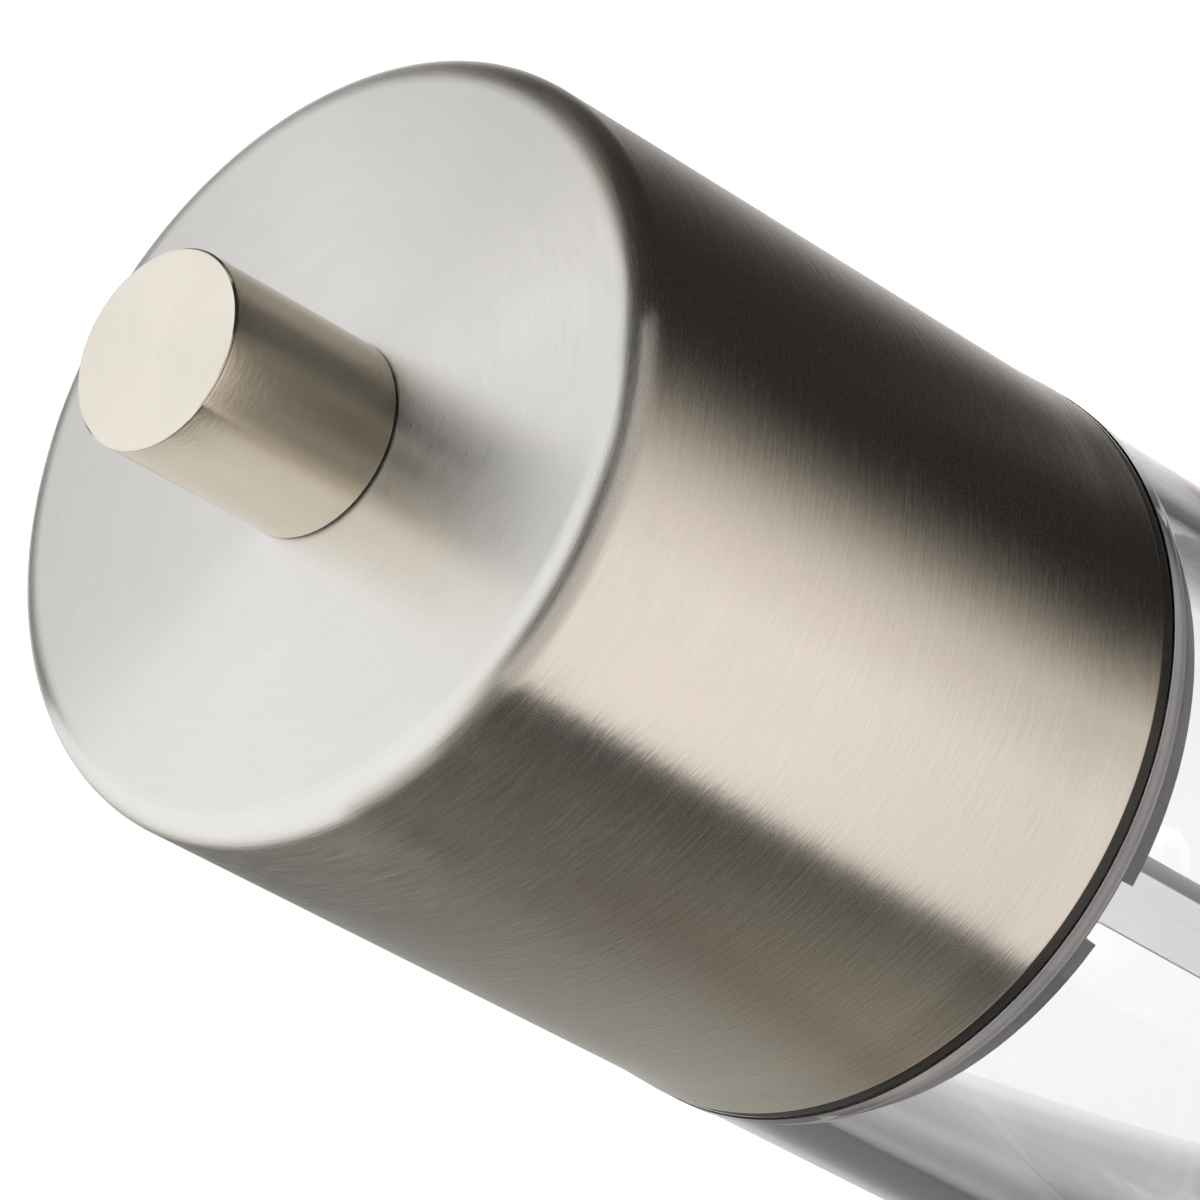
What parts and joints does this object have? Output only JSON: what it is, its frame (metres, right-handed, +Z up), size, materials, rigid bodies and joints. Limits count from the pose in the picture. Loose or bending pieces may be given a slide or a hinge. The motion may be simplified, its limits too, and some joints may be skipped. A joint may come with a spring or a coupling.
{
  "type": "pepper grinder",
  "caption": "Twist-top pepper mill: tall brushed steel cap with a cylindrical grind-setting knob, on a clear cylindrical container with a square drive shaft and toothed grinding cones.",
  "frame": {"origin": "centre of the container's foot, on the surface it stands on", "axes": "+Z up along the mill's axis toward the knob; -Y toward the viewer, +X to the viewer's right"},
  "size_m": [0.0564, 0.0564, 0.1791],
  "materials": {
    "cap_steel": "brushed round the axis",
    "clear_acrylic": "polished clear",
    "black_plastic": "fine moulded",
    "black_glide": "semi-gloss",
    "smoky_silicone": "translucent satin",
    "shaft_aluminium": "drawn",
    "tool_steel": "hardened and ground",
    "plated_steel": "zinc plated",
    "natural_nylon": "moulded"
  },
  "bodies": {
    "body": {"container": "clear_acrylic", "mill_housing": "black_plastic", "stator": "tool_steel", "retainer_ring": "plated_steel", "retainer_screws": "plated_steel"},
    "drive": {"thrust_bush": "natural_nylon", "shaft_clip": "plated_steel", "spring": "plated_steel"},
    "shaft": {"shaft": "shaft_aluminium", "rotor": "tool_steel", "rotor_washer": "plated_steel", "rotor_screw": "plated_steel"},
    "cap": {"cap_shell": "cap_steel", "cap_core": "black_plastic", "drive_plate": "plated_steel", "plate_screws": "plated_steel", "glide_ring": "black_glide", "seal_ring": "smoky_silicone", "knob_washer": "black_plastic"},
    "knob": {"knob": "cap_steel"}
  },
  "joints": [
    {"name": "cap_turn", "type": "hinge", "parent": "body", "child": "drive", "pos_m": [0, 0, 0.024], "axis": [0, 0, 1], "continuous": true},
    {"name": "shaft_lift", "type": "slide", "parent": "drive", "child": "shaft", "axis": [0, 0, 1], "range_m": [-0.0008, 0.0008], "deforming": ["spring"]},
    {"name": "cap_lift", "type": "slide", "parent": "drive", "child": "cap", "axis": [0, 0, 1], "range_m": [0, 0.075]},
    {"name": "knob_turn", "type": "hinge", "parent": "cap", "child": "knob", "pos_m": [0, 0, 0.1638], "axis": [0, 0, 1], "range_deg": [-360, 360]}
  ],
  "couplings": [
    {"joint": "shaft_lift", "follows": "knob_turn", "m_per_rad": -0.00012732}
  ]
}
